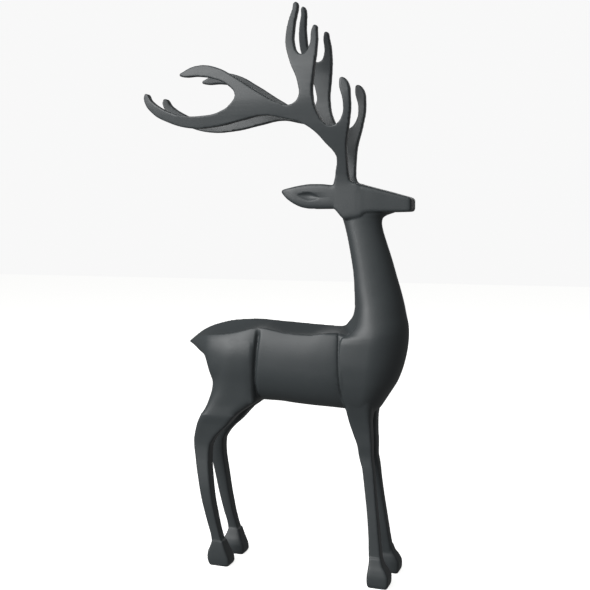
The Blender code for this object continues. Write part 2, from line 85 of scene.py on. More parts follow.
# Each row: z, back, front and widest x, inner, outer and widest y, then the powers of the back's
# corners along and across and of the front's.
HIND_LEG = (
    (20.0, -71.6, -61.0, -66.3, 13.2, 23.6, 18.4, 8.0, 8.0, 8.0),
    (30.0, -73.4, -64.1, -68.6, 13.6, 23.4, 18.5, 8.0, 8.0, 8.0),
    (40.0, -76.4, -66.9, -71.5, 13.1, 23.5, 18.3, 8.0, 8.0, 8.0),
    (50.0, -79.1, -69.1, -74.0, 12.8, 23.8, 18.3, 8.0, 8.0, 8.0),
    (60.0, -81.7, -71.1, -76.3, 12.7, 24.0, 18.4, 8.0, 8.0, 8.0),
    (70.0, -83.8, -72.6, -78.1, 12.4, 23.9, 18.1, 8.0, 8.0, 8.0),
    (80.0, -85.7, -73.8, -79.6, 11.7, 23.3, 17.5, 8.0, 8.0, 8.0),
    (90.0, -87.7, -75.0, -81.2, 10.9, 22.3, 16.6, 8.0, 8.0, 8.0),
    (100.0, -89.3, -75.5, -82.3, 10.0, 21.3, 15.7, 8.0, 8.0, 8.0),
    (110.0, -90.7, -74.7, -82.2, 9.4, 20.8, 15.1, 8.0, 8.0, 8.0),
    (115.0, -90.7, -72.1, -81.0, 9.3, 21.1, 15.2, 8.0, 8.0, 8.0),
    (120.0, -89.8, -68.3, -79.0, 9.4, 21.6, 15.5, 8.0, 8.0, 8.0),
    (130.0, -87.0, -57.7, -73.0, 9.6, 22.8, 16.8, 6.5, 7.0, 8.0),
    (140.0, -82.3, -48.4, -66.5, 8.6, 24.3, 16.0, 5.0, 5.5, 8.0),
    (148.0, -78.4, -37.4, -61.8, 6.5, 24.0, 12.8, 3.8, 3.8, 8.0),
    (154.0, -77.3, -29.8, -58.0, 2.5, 24.4, 8.0, 3.2, 2.9, 8.0),
    (161.0, -76.9, -29.8, -54.5, -2.0, 25.0, 2.0, 2.7, 2.3, 8.0),
    (171.0, -76.9, -29.2, -52.0, -3.0, 26.2, 0.0, 2.5, 2.0, 8.0),
    (180.0, -76.8, -28.6, -51.0, -3.0, 27.6, 0.0, 2.5, 1.7, 8.0),
    (188.0, -78.6, -28.1, -50.0, -3.0, 28.4, 0.0, 2.5, 1.4, 8.0),
    (194.0, -80.4, -27.7, -49.0, -3.0, 28.6, 0.0, 2.5, 1.3, 8.0),
    (202.0, -77.0, -27.3, -48.0, -3.0, 27.8, 0.0, 2.5, 1.2, 8.0),
    (208.0, -68.0, -27.2, -47.0, -3.0, 26.0, 0.0, 2.5, 1.2, 8.0),
    (213.0, -58.0, -28.0, -45.0, -3.0, 21.5, 0.0, 2.5, 1.2, 6.0),
)
FORE_LEG = (
    (20.0, 75.2, 86.0, 80.6, 12.4, 22.8, 18.5, 8.0, 8.0, 8.0),
    (30.0, 74.1, 84.6, 79.8, 11.4, 21.3, 17.5, 8.0, 8.0, 8.0),
    (40.0, 73.6, 83.2, 78.8, 10.1, 20.0, 16.2, 8.0, 8.0, 8.0),
    (50.0, 72.7, 81.9, 77.7, 9.1, 18.7, 15.0, 8.0, 8.0, 8.0),
    (60.0, 71.6, 80.6, 76.5, 8.4, 17.4, 14.0, 8.0, 8.0, 8.0),
    (70.0, 70.2, 79.3, 75.2, 7.5, 16.1, 13.0, 8.0, 8.0, 8.0),
    (80.0, 68.7, 78.1, 73.8, 6.6, 15.0, 12.0, 8.0, 8.0, 8.0),
    (90.0, 67.3, 77.0, 72.5, 5.7, 14.2, 11.1, 8.0, 8.0, 8.0),
    (100.0, 65.8, 76.0, 71.3, 4.8, 13.7, 10.4, 8.0, 8.0, 8.0),
    (110.0, 62.9, 74.5, 70.0, 3.9, 13.0, 9.9, 8.0, 8.0, 8.0),
    (120.0, 61.3, 74.4, 68.5, 3.1, 14.0, 9.5, 8.0, 8.0, 8.0),
    (130.0, 57.7, 73.8, 66.8, 2.5, 14.4, 9.3, 8.0, 8.0, 8.0),
    (140.0, 54.4, 73.6, 65.5, 3.4, 15.8, 9.0, 8.0, 8.0, 6.0),
    (150.0, 52.2, 74.6, 65.0, 1.0, 18.4, 7.0, 8.0, 8.0, 5.0),
    (158.0, 50.6, 78.0, 65.0, -3.0, 20.8, 0.0, 7.0, 7.0, 3.6),
    (166.0, 49.6, 81.0, 65.5, -3.0, 22.9, 0.0, 6.0, 6.0, 2.8),
    (174.0, 49.0, 83.0, 66.0, -3.0, 24.4, 0.0, 5.0, 5.0, 2.4),
    (182.0, 48.8, 84.0, 66.5, -3.0, 25.4, 0.0, 5.0, 5.0, 2.2),
)
# Each row: z, back and front x, inner and outer y.
HIND_HOOF = (
    (-3.0, -72.6, -58.0, 11.2, 22.8),
    (0.0, -72.6, -58.0, 11.2, 22.8),
    (1.6, -74.2, -56.2, 10.0, 23.8),
    (4.5, -75.8, -54.7, 9.0, 24.5),
    (9.0, -76.5, -55.2, 9.0, 24.8),
    (14.0, -75.9, -57.2, 9.8, 24.7),
    (19.0, -73.8, -59.3, 11.4, 24.4),
    (24.5, -71.8, -61.2, 13.0, 23.9),
)
FORE_HOOF = (
    (-3.0, 76.4, 90.0, 13.4, 25.8),
    (0.0, 76.4, 90.0, 13.4, 25.8),
    (1.6, 75.2, 91.6, 12.2, 26.8),
    (4.5, 74.0, 92.8, 11.2, 27.6),
    (10.0, 73.8, 93.0, 11.0, 27.3),
    (16.0, 74.4, 90.6, 11.6, 26.0),
    (20.0, 74.8, 87.7, 12.6, 24.6),
    (26.0, 75.0, 85.5, 13.8, 22.9),
)


class Side(Enum):
    """The two sides of the deer, with the sign of Y on each."""

    RIGHT = -1
    LEFT = 1


def placed(x: float, y: float, z: float) -> Vector:
    """A point of the drawing, in steps, as a point of the casting in metres."""
    return Vector((x - MIDDLE, y, z - GROUND)) * STEP


def drawn(at: Vector) -> tuple[float, float]:
    """The drawing's x and z, in steps, of a point of the casting."""
    return at.x / STEP + MIDDLE, at.z / STEP + GROUND


def through(rows: Sequence[Row]) -> Callable[[float], np.ndarray]:
    """A smooth curve through every row that never overshoots them.

    Args:
        rows: each a place followed by the values there, in order of place.

    Returns:
        A function from a place to the values there.
    """
    table = np.array(rows, float)
    place, value = table[:, 0], table[:, 1:]
    gap = np.diff(place)[:, None]
    slope = np.diff(value, axis=0) / gap
    product = slope[:-1] * slope[1:]
    total = np.where(product > 0, slope[:-1] + slope[1:], 1)
    inner = np.where(product > 0, 2 * product / total, 0)
    lean = np.vstack([slope[:1], inner, slope[-1:]])

    def curve(at: float) -> np.ndarray:
        """The values at one place."""
        i = int(np.clip(np.searchsorted(place, at, side="right") - 1, 0, len(gap) - 1))
        t = (min(max(at, place[0]), place[-1]) - place[i]) / gap[i, 0]
        start = value[i] * (1 + 2 * t) * (1 - t) ** 2 + lean[i] * gap[i] * t * (1 - t) ** 2
        end = value[i + 1] * t * t * (3 - 2 * t) - lean[i + 1] * gap[i] * t * t * (1 - t)
        return start + end

    return curve


def stations(rows: Sequence[Row], gap: float) -> list[float]:
    """Places from the first row to the last, no further apart than gap, with every row's own."""
    found = [rows[0][0]]
    for low, high in zip(rows, rows[1:]):
        count = max(1, math.ceil((high[0] - low[0]) / gap))
        found += [low[0] + (high[0] - low[0]) * (i + 1) / count for i in range(count)]
    return found


def power(value: float, exponent: float) -> float:
    """A power that keeps the value's sign."""
    return math.copysign(abs(value) ** exponent, value)


@dataclass(frozen=True)
class Softness:
    """How square a ring's corners are: 2 is an ellipse, and more is squarer."""

    back_along: float
    back_across: float
    front: float

    @classmethod
    def even(cls, all_round: float) -> "Softness":
        """The same corners all round."""
        return cls(all_round, all_round, all_round)


def blocky(
    low: float, high: float, middle: float, inner: float, outer: float, centre: float,
    soft: Softness, points: int,
) -> list[tuple[float, float]]:
    """Ring round a rectangle with soft corners.

    Args:
        low: where it starts along.
        high: where it ends along.
        middle: where it is widest, along.
        inner: where it starts across.
        outer: where it ends across.
        centre: where it is longest, across.
        soft: how square its corners are.
        points: how many points it has.

    Returns:
        Its points, along and across.
    """
    ring = []
    for i in range(points):
        turn = 2 * math.pi * i / points
        c, s = math.cos(turn), math.sin(turn)
        along, across = (soft.front, soft.front) if c > 0 else (soft.back_along, soft.back_across)
        reach = high - middle if c > 0 else middle - low
        stand = outer - centre if s > 0 else centre - inner
        ring.append((middle + reach * power(c, 2 / along), centre + stand * power(s, 2 / across)))
    return ring


def gabled(
    ridge: float, edge: float, widest: float, keel: float, half: float, share: float,
    roundness: float, hollow: float, points: int, roof_points: int,
) -> list[tuple[float, float]]:
    """Closed section with a hollowed roof over round sides.

    Args:
        ridge: level of the ridge.
        edge: level of the roof's edges.
        widest: level where the section is widest.
        keel: level of its lowest point.
        half: half its width.
        share: how much of that the roof's edges reach.
        roundness: power of its sides' curve.
        hollow: power of the roof's slope.
        points: how many points it has.
        roof_points: how many of those lie on each slope of the roof.

    Returns:
        Its points, sideways and along.
    """
    right = []
    for i in range(roof_points):
        run = i / roof_points
        right.append((half * share * run, ridge + (edge - ridge) * (1 - (1 - run) ** hollow)))
    top = math.acos(share ** (roundness / 2))
    rise = (edge - widest) / math.sin(top) ** (2 / roundness)
    count = points // 2 - roof_points
    for i in range(count + 1):
        turn = top + (-math.pi / 2 - top) * i / count
        reach = rise if turn > 0 else widest - keel
        out = half * max(math.cos(turn), 0) ** (2 / roundness)
        right.append((out, widest + reach * power(math.sin(turn), 2 / roundness)))
    right[-1] = (0, keel)
    return right + [(-side, along) for side, along in right[-2:0:-1]]


def join(bm: bmesh.types.BMesh, part: bmesh.types.BMesh) -> None:
    """Moves all of part into bm."""
    mesh = bpy.data.meshes.new("joined")
    part.to_mesh(mesh)
    part.free()
    bm.from_mesh(mesh)
    bpy.data.meshes.remove(mesh)


def add_loft(bm: bmesh.types.BMesh, rings: Sequence[Ring]) -> None:
    """Adds a closed body: a circle laid on the first ring, extruded from ring to ring, and capped.

    Args:
        bm: the bmesh that takes it.
        rings: its rings, in steps, with as many points each.
    """
    loft = bmesh.new()
    count = len(rings[0])
    ring = bmesh.ops.create_circle(loft, cap_ends=True, segments=count, radius=STEP)["verts"]
    for vert, point in zip(ring, rings[0]):
        vert.co = placed(*point)
    for points in rings[1:]:
        edges = [loft.edges.get(pair) for pair in zip(ring, ring[1:] + ring[:1])]
        made = bmesh.ops.extrude_edge_only(loft, edges=edges)["geom"]
        fresh = {item for item in made if isinstance(item, bmesh.types.BMVert)}
        ring = [
            next(other for edge in vert.link_edges if (other := edge.other_vert(vert)) in fresh)
            for vert in ring
        ]
        for vert, point in zip(ring, points):
            vert.co = placed(*point)
    bmesh.ops.contextual_create(loft, geom=ring)
    bmesh.ops.recalc_face_normals(loft, faces=loft.faces)
    join(bm, loft)


@dataclass
class Trunk:
    """Barrel of the body with a ridge along the back, from tail to chest, grooved at the haunch.

    Its rows are x, the levels of the spine, the roof's edges, the widest line and the belly, and
    half the width there as a share of the whole.
    """

    width: float = 55.0
    shoulder: float = 0.82
    roundness: float = 2.3
    roof_hollow: float = 1.5
    groove_x: float = -26.0
    groove_reach: float = 2.9
    groove_fade: float = 7.0
    groove_depth: float = 3.4
    groove_slant: float = 0.08
    groove_level: float = 212.0
    slant_reach: float = 14.0
    points: int = 96
    roof_points: int = 12
    gap: float = 0.8
    rows: Sequence[Row] = (
        (-103.5, 202.6, 202.3, 202.0, 201.4, 0.012),
        (-101.0, 204.6, 203.4, 202.2, 200.2, 0.040),
        (-96.0, 208.6, 206.0, 202.0, 197.4, 0.112),
        (-90.0, 212.9, 208.4, 201.5, 193.2, 0.205),
        (-85.0, 215.6, 209.8, 200.5, 190.8, 0.290),
        (-81.5, 217.2, 210.4, 198.0, 188.9, 0.345),
        (-79.0, 218.2, 210.8, 196.0, 184.0, 0.380),
        (-76.0, 219.2, 211.2, 195.0, 170.0, 0.415),
        (-70.0, 221.0, 211.8, 194.0, 158.5, 0.455),
        (-60.0, 223.3, 212.8, 193.0, 156.5, 0.492),
        (-50.0, 224.5, 214.4, 192.0, 154.5, 0.505),
        (-40.0, 225.2, 216.8, 191.0, 153.5, 0.505),
        (-34.0, 225.3, 218.4, 190.0, 152.9, 0.500),
        (-29.0, 225.3, 219.2, 190.0, 152.5, 0.490),
        (-22.0, 224.9, 219.4, 189.0, 152.7, 0.488),
        (-12.0, 224.3, 217.8, 188.0, 152.7, 0.494),
        (2.0, 223.6, 215.6, 187.0, 151.7, 0.500),
        (20.0, 222.6, 215.0, 186.5, 150.7, 0.500),
        (34.0, 222.0, 216.9, 186.0, 150.3, 0.492),
        (43.0, 222.0, 217.4, 186.0, 149.9, 0.482),
        (47.6, 222.5, 216.8, 186.0, 149.7, 0.470),
        (60.0, 223.0, 215.0, 186.0, 151.5, 0.440),
    )

    def near_groove(self, x: float, reach: float) -> float:
        """1 at the groove, falling smoothly to 0 at reach from it."""
        away = (x - self.groove_x) / reach
        return max(0.0, 1 - away * away) ** 2

    def section(self, x: float) -> list[tuple[float, float]]:
        """The ring at x, sideways and up."""
        spine, edge, widest, belly, share = through(self.rows)(x)
        half = share * self.width
        cut = self.groove_depth * self.near_groove(x, self.groove_reach) / half
        ring = gabled(
            spine, edge, widest, belly, half, self.shoulder, self.roundness,
            self.roof_hollow, self.points, self.roof_points,
        )
        fade = self.groove_fade
        return [(y * (1 - cut * min(max((edge - z) / fade, 0), 1)), z) for y, z in ring]

    def add_to(self, bm: bmesh.types.BMesh) -> None:
        """Adds the trunk, with its groove leaning back below the roof."""
        rings = []
        for x in stations(self.rows, self.gap):
            slant = self.groove_slant * self.near_groove(x, self.slant_reach)
            section = self.section(x)
            rings.append([(x + slant * min(z - self.groove_level, 0), y, z) for y, z in section])
        add_loft(bm, rings)


@dataclass
class Neck:
    """Chest and neck, with the back's ridge carried up the nape.

    Its rows are z, the x of the nape, the roof's edges, the widest line and the throat, half the
    width there as a share of the whole, and how much of that the roof's edges reach.
    """

    width: float = 54.0
    roundness: float = 2.05
    roof_hollow: float = 1.5
    points: int = 96
    roof_points: int = 12
    gap: float = 1.2
    rows: Sequence[Row] = (
        (148.8, 56.0, 58.0, 62.0, 70.0, 0.170, 0.80),
        (150.0, 51.0, 53.0, 62.0, 76.2, 0.290, 0.88),
        (153.0, 49.4, 51.0, 64.0, 79.0, 0.350, 0.92),
        (158.8, 48.8, 50.3, 66.0, 82.8, 0.400, 0.94),
        (166.0, 48.6, 50.1, 68.0, 87.4, 0.440, 0.95),
        (176.0, 48.4, 49.9, 70.0, 93.4, 0.475, 0.95),
        (191.8, 47.9, 49.4, 72.0, 99.0, 0.498, 0.95),
        (207.4, 47.3, 49.3, 74.0, 102.0, 0.494, 0.94),
        (213.0, 46.0, 50.5, 75.0, 102.4, 0.486, 0.91),
        (218.0, 44.0, 58.0, 76.5, 102.5, 0.468, 0.85),
        (224.0, 47.5, 61.6, 76.0, 102.2, 0.440, 0.80),
        (232.1, 53.4, 62.2, 74.5, 100.5, 0.402, 0.78),
        (241.4, 54.8, 61.2, 73.5, 98.7, 0.362, 0.74),
        (253.1, 54.5, 59.2, 71.0, 95.7, 0.324, 0.73),
        (266.0, 53.7, 57.6, 68.5, 91.8, 0.292, 0.72),
        (280.0, 51.6, 55.4, 65.5, 87.7, 0.264, 0.71),
        (295.0, 48.8, 52.5, 62.0, 82.7, 0.238, 0.71),
        (305.0, 46.5, 50.1, 59.8, 79.6, 0.222, 0.71),
        (311.0, 44.8, 48.6, 58.6, 78.6, 0.215, 0.71),
        (314.6, 43.6, 47.7, 58.6, 79.2, 0.212, 0.71),
        (317.2, 42.4, 47.0, 59.0, 82.5, 0.210, 0.71),
        (320.5, 40.6, 46.2, 60.0, 91.0, 0.205, 0.71),
        (326.0, 39.5, 45.6, 60.0, 92.0, 0.200, 0.71),
    )

    def add_to(self, bm: bmesh.types.BMesh) -> None:
        """Adds the chest and neck."""
        curve = through(self.rows)
        rings = []
        for z in stations(self.rows, self.gap):
            nape, edge, widest, throat, half, share = curve(z)
            section = gabled(
                nape, edge, widest, throat, half * self.width, share, self.roundness,
                self.roof_hollow, self.points, self.roof_points,
            )
            rings.append([(x, side, z) for side, x in section])
        add_loft(bm, rings)


@dataclass
class Leg:
    """A leg and its hoof, on either side, from rows like those at the top of the script."""

    leg_rows: Sequence[Row]
    hoof_rows: Sequence[Row]
    hoof_corners: float = 9.0
    points: int = 64
    gap: float = 1.2

    def add_to(self, bm: bmesh.types.BMesh, side: Side) -> None:
        """Adds the leg and its hoof on one side."""
        leg, hoof = through(self.leg_rows), through(self.hoof_rows)
        rings = []
        for z in stations(self.leg_rows, self.gap):
            back, front, middle, inner, outer, centre, along, across, nose = leg(z)
            soft = Softness(along, across, nose)
            ring = blocky(back, front, middle, inner, outer, centre, soft, self.points)
            rings.append([(x, side.value * y, z) for x, y in ring])
        add_loft(bm, rings)
        rings = []
        soft = Softness.even(self.hoof_corners)
        for z in stations(self.hoof_rows, self.gap):
            back, front, inner, outer = hoof(z)
            middle, centre = (back + front) / 2, (inner + outer) / 2
            ring = blocky(back, front, middle, inner, outer, centre, soft, self.points)
            rings.append([(x, side.value * y, z) for x, y in ring])
        add_loft(bm, rings)


@dataclass
class Head:
    """Flat-sided head with a blunt muzzle, and the two ears laid back from it.

    The rows are x, the levels of the jaw or the ear's lower edge and of the crown or the ear's
    upper edge, and a share: half the head's width, or the ear's thickness.
    """

    width: float = 26.0
    corners: float = 10.0
    ear_corners: float = 4.0
    ear_thickness: float = 6.5
    ear_face: float = 13.0
    cheek: float = 58.0
    taper: float = 0.0032
    points: int = 64
    gap: float = 0.8
    rows: Sequence[Row] = (
        (37.0, 325.5, 341.0, 0.36),
        (38.5, 323.4, 343.4, 0.48),
        (41.5, 320.6, 344.6, 0.50),
        (46.0, 315.4, 345.0, 0.50),
        (49.0, 313.4, 345.0, 0.50),
        (54.0, 313.9, 344.6, 0.50),
        (59.5, 314.7, 344.0, 0.50),
        (62.8, 315.8, 343.3, 0.50),
        (66.2, 318.6, 342.4, 0.495),
        (71.4, 319.6, 341.0, 0.49),
        (85.5, 319.8, 337.3, 0.465),
        (97.0, 320.0, 334.1, 0.445),
        (103.2, 320.2, 332.3, 0.430),
        (104.9, 320.9, 331.4, 0.41),
        (105.7, 322.4, 330.0, 0.36),
    )
    ear_rows: Sequence[Row] = (
        (-8.6, 336.9, 339.0, 0.25),
        (-7.0, 335.0, 339.8, 0.55),
        (-3.0, 331.1, 340.8, 0.80),
        (4.4, 326.5, 342.4, 1.00),
        (11.0, 324.0, 343.5, 1.00),
        (18.1, 323.0, 344.2, 1.00),
        (27.2, 323.0, 344.1, 1.00),
        (36.1, 323.1, 343.3, 1.00),
        (44.0, 323.0, 343.0, 1.00),
    )

    def add_to(self, bm: bmesh.types.BMesh) -> None:
        """Adds the head and both ears."""
        curve = through(self.rows)
        rings = []
        soft = Softness.even(self.corners)
        for x in stations(self.rows, self.gap):
            jaw, crown, share = curve(x)
            half = share * self.width * (1 - self.taper * max(x - self.cheek, 0))
            ring = blocky(jaw, crown, (jaw + crown) / 2, -half, half, 0, soft, self.points)
            rings.append([(x, y, z) for z, y in ring])
        add_loft(bm, rings)
        for side in Side:
            self.add_ear(bm, side)

    def add_ear(self, bm: bmesh.types.BMesh, side: Side) -> None:
        """Adds one ear, a leaf in line with the side of the head."""
        curve = through(self.ear_rows)
        middle = self.ear_face - self.ear_thickness / 2
        rings = []
        soft = Softness.even(self.ear_corners)
        for x in stations(self.ear_rows, self.gap):
            low, high, share = curve(x)
            half = share * self.ear_thickness / 2
            ring = blocky(
                low, high, (low + high) / 2, middle - half, middle + half, middle, soft, self.points
            )
            rings.append([(x, side.value * y, z) for z, y in ring])
        add_loft(bm, rings)


@dataclass
class Antlers:
    """A pair of flat plates cut to an outline and bowed away from each other.

    The outline is x and z round the plate's edge. spread is how far the plate's middle stands from
    the centre plane at a level, and closing how much of that is left towards the back.
    """

    thickness: float = 6.2
    root: float = 350.0
    lean: float = 0.013
    cut_gap: float = 4.0
    curve_points: int = 8
    outline: Sequence[Row] = (
        (40.3, 340.0), (41.1, 352.0), (43.4, 364.0), (43.0, 367.3), (34.3, 378.2), (24.9, 388.3),
        (14.0, 395.2), (-3.4, 399.9), (-19.5, 402.7), (-40.1, 399.4), (-64.0, 395.0), (-92.0, 394.6),
        (-112.0, 400.2), (-127.8, 408.7), (-135.6, 418.6), (-136.2, 424.7), (-134.2, 426.6),
        (-128.6, 420.2), (-118.0, 413.0), (-101.0, 406.2), (-77.7, 404.5), (-60.0, 407.5),
        (-48.6, 414.4), (-45.0, 421.0), (-50.4, 428.5), (-64.7, 435.5), (-80.0, 438.4),
        (-94.5, 438.8), (-97.8, 440.2), (-93.8, 443.3), (-80.0, 447.8), (-63.2, 445.6),
        (-44.0, 435.4), (-20.7, 420.7), (-5.0, 412.4), (5.4, 410.8), (12.6, 416.0),
        (12.6, 428.2), (5.0, 447.5), (0.5, 463.0), (0.8, 478.1), (4.0, 491.3),
        (6.4, 498.6), (8.2, 497.4), (7.0, 476.7), (8.2, 461.2), (12.6, 453.4), (18.2, 453.0),
        (22.4, 460.5), (23.0, 473.0), (25.6, 477.1), (27.7, 470.8), (28.4, 455.0), (26.8, 437.4),
        (25.4, 418.5), (28.7, 403.5), (36.3, 393.4), (44.5, 393.2), (50.9, 401.0), (51.9, 411.6),
        (49.1, 427.3), (50.5, 430.9), (54.5, 429.5), (58.2, 413.0), (56.3, 396.0), (52.4, 376.0),
        (51.9, 362.0), (52.2, 353.5), (53.0, 348.4), (55.6, 345.2),
        (60.5, 343.6), (60.5, 338.0),
    )
    spread: Sequence[Row] = (
        (335.0, 9.9), (343.0, 10.0), (350.0, 10.7), (358.0, 12.2), (375.0, 16.0), (398.0, 20.9),
        (420.0, 23.9), (440.0, 23.4), (455.0, 21.0), (475.0, 15.5), (500.0, 9.0),
    )
    closing: Sequence[Row] = (
        (-137.0, 0.74), (-118.0, 0.88), (-98.0, 0.98), (-80.0, 1.0), (60.0, 1.0),
    )

    def plate(self) -> bpy.types.Mesh:
        """The flat plate in its own XY plane, in steps."""
        data = bpy.data.curves.new("antler outline", "CURVE")
        data.dimensions = "2D"
        data.fill_mode = "BOTH"
        data.extrude = self.thickness / 2
        data.resolution_u = self.curve_points
        spline = data.splines.new("BEZIER")
        spline.bezier_points.add(len(self.outline) - 1)
        spline.use_cyclic_u = True
        for knot, (x, z) in zip(spline.bezier_points, self.outline):
            knot.co = (x, z, 0)
            knot.handle_left_type = knot.handle_right_type = "AUTO"
        stencil = bpy.data.objects.new("antler outline", data)
        bpy.context.scene.collection.objects.link(stencil)
        bpy.context.view_layer.update()
        graph = bpy.context.evaluated_depsgraph_get()
        mesh = bpy.data.meshes.new_from_object(stencil.evaluated_get(graph))
        bpy.data.objects.remove(stencil)
        bpy.data.curves.remove(data)
        return mesh

    def add_to(self, bm: bmesh.types.BMesh, side: Side) -> None:
        """Adds one antler, cut across both ways so that it can bow."""
        flat = self.plate()
        plate = bmesh.new()
        plate.from_mesh(flat)
        bpy.data.meshes.remove(flat)
        bmesh.ops.remove_doubles(plate, verts=plate.verts, dist=STEP)
        for axis in (Vector((0, 1, 0)), Vector((1, 0, 0))):
            reach = [vert.co.dot(axis) for vert in plate.verts]
            for cut in np.arange(min(reach) + self.cut_gap, max(reach), self.cut_gap):
                whole = plate.verts[:] + plate.edges[:] + plate.faces[:]
                bmesh.ops.bisect_plane(plate, geom=whole, plane_co=axis * cut, plane_no=axis)
        bow, closing = through(self.spread), through(self.closing)
        for vert in plate.verts:
            x, z, off = vert.co
            middle = bow(z)[0] * closing(x)[0]
            lean = max(0.0, z - self.root) * self.lean
            vert.co = placed(x - lean, side.value * (middle + off), z)
        bmesh.ops.recalc_face_normals(plate, faces=plate.faces)
        join(bm, plate)


@dataclass(frozen=True)
class Window:
    """A rectangle of the drawing, from back to front and from low to high."""

    back: float
    front: float
    low: float
    high: float

    def holds(self, x: float, z: float) -> bool:
        """Whether a point of the drawing lies inside."""
        return self.back < x < self.front and self.low < z < self.high


@dataclass(frozen=True)
class Patch:
    """A part of the skin that is smoothed further: where, how far out at least, and how often."""

    window: Window
    least_out: float
    rounds: int
    share: float = 0.5

    def covers(self, at: Vector) -> bool:
        """Whether a point of the skin lies on it."""
        return self.window.holds(*drawn(at)) and abs(at.y) >= self.least_out * STEP

    def soften(self, bm: bmesh.types.BMesh) -> None:
        """Smooths the skin there."""
        verts = [vert for vert in bm.verts if self.covers(vert.co)]
        for _ in range(self.rounds):
            bmesh.ops.smooth_vert(
                bm, verts=verts, factor=self.share, use_axis_x=True, use_axis_y=True, use_axis_z=True
            )


@dataclass(frozen=True)
class Score:
    """A line pressed into the skin where it faces sideways: its points, how wide and how deep."""

    window: Window
    points: Sequence[tuple[float, float]]
    half_width: float
    depth: float
    least_facing: float = 0.25

    def press(self, x: float, z: float) -> float:
        """How deep the line is at x and z."""
        best = math.inf
        for (ax, az), (bx, bz) in zip(self.points, self.points[1:]):
            run = (bx - ax, bz - az)
            t = ((x - ax) * run[0] + (z - az) * run[1]) / (run[0] ** 2 + run[1] ** 2)
            t = min(max(t, 0.0), 1.0)
            best = min(best, math.hypot(x - ax - t * run[0], z - az - t * run[1]))
        share = max(0.0, 1 - best / self.half_width)
        return self.depth * share * share * (3 - 2 * share)


@dataclass(frozen=True)
class Dish:
    """An almond pressed into the outer face of each ear, steeper at its upper edge."""

    window: Window = Window(2.0, 32.0, 326.0, 342.0)
    least_out: float = 10.5
    x: float = 17.0
    z: float = 333.4
    half_length: float = 11.0
    half_height: float = 3.9
    slope: float = math.radians(7)
    depth: float = 1.8
    point_power: float = 1.7
    upper_bias: float = 0.35

    def press(self, x: float, z: float) -> float:
        """How deep the almond is at x and z."""
        dx, dz = x - self.x, z - self.z
        along = (dx * math.cos(self.slope) - dz * math.sin(self.slope)) / self.half_length
        up = (dz * math.cos(self.slope) + dx * math.sin(self.slope)) / self.half_height
        rim = 1 - abs(along) ** self.point_power
        if rim <= 0 or abs(up) >= rim:
            return 0.0
        share = 1 - (up / rim) ** 2
        return self.depth * rim * share * (1 + self.upper_bias * up / rim)


def new_object(name: str, bm: bmesh.types.BMesh) -> bpy.types.Object:
    """An object of the bmesh, in the scene."""
    mesh = bpy.data.meshes.new(name)
    bm.to_mesh(mesh)
    bm.free()
    made = bpy.data.objects.new(name, mesh)
    bpy.context.scene.collection.objects.link(made)
    return made


def apply_modifiers(made: bpy.types.Object) -> None:
    """Makes the object's mesh what its modifiers give, and clears them."""
    bpy.context.view_layer.update()
    graph = bpy.context.evaluated_depsgraph_get()
    done = bpy.data.meshes.new_from_object(made.evaluated_get(graph))
    before = made.data
    made.modifiers.clear()
    made.data = done
    done.name = before.name
    bpy.data.meshes.remove(before)


def linear(hex_colour: str) -> tuple[float, float, float, float]:
    """An sRGB hex colour as linear red, green, blue and alpha."""
    parts = [int(hex_colour[i : i + 2], 16) / 255 for i in (1, 3, 5)]
    return tuple(c / 12.92 if c <= 0.04045 else ((c + 0.055) / 1.055) ** 2.4 for c in parts) + (1.0,)


def add_node(
    tree: bpy.types.NodeTree, kind: str, inputs: dict | None = None, **settings: object
) -> bpy.types.Node:
    """Adds a node with its settings and links.

    Args:
        tree: the tree that takes it.
        kind: the node's type.
        inputs: for each input's name or place, a value, or a socket to link to it.
        settings: the node's own properties.

    Returns:
        The node.
    """
    node = tree.nodes.new(kind)
    for name, value in settings.items():
        setattr(node, name, value)
    for key, value in (inputs or {}).items():
        if isinstance(value, bpy.types.NodeSocket):
            tree.links.new(value, node.inputs[key])
        else:
            node.inputs[key].default_value = value
    return node


